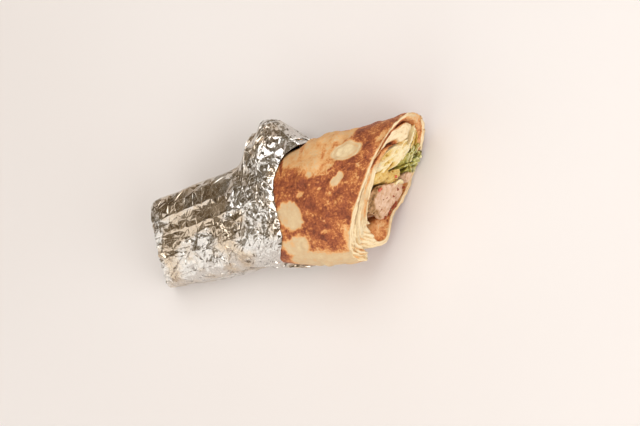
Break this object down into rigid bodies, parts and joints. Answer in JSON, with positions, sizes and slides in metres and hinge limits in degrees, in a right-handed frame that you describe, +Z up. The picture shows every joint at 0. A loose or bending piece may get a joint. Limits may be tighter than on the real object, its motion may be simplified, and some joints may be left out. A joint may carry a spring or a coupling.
{
  "type": "naan wrap",
  "caption": "Half of a rolled naan wrap with chicken, salad and relish, cut on the slant and held in a crumpled foil sleeve at its closed end.",
  "frame": {"origin": "on the floor plane, at the middle of the footprint", "axes": "+X along the roll from the closed, foil-held end to the cut; +Y across it, towards the long side of the slanted cut; +Z up"},
  "size_m": [0.1864, 0.09, 0.0543],
  "materials": {
    "foil": "crumpled kitchen foil, bright, with fine creases",
    "bread": "toasted flatbread, matt, brown with cream patches and a cream crumb at the cut",
    "chicken": "cooked chicken, satin, fibrous at the cut",
    "pale_leaf": "crisp pale leaf with whitish veins, moist",
    "relish": "soft yellow onion relish, moist",
    "lettuce": "ruffled green leaf, moist"
  },
  "bodies": {
    "root": {"foil": "foil", "naan": "bread", "chicken_large": "chicken", "chicken_small": "chicken", "pale_leaf": "pale_leaf", "onion_relish": "relish", "green_lettuce": "lettuce"}
  },
  "joints": []
}
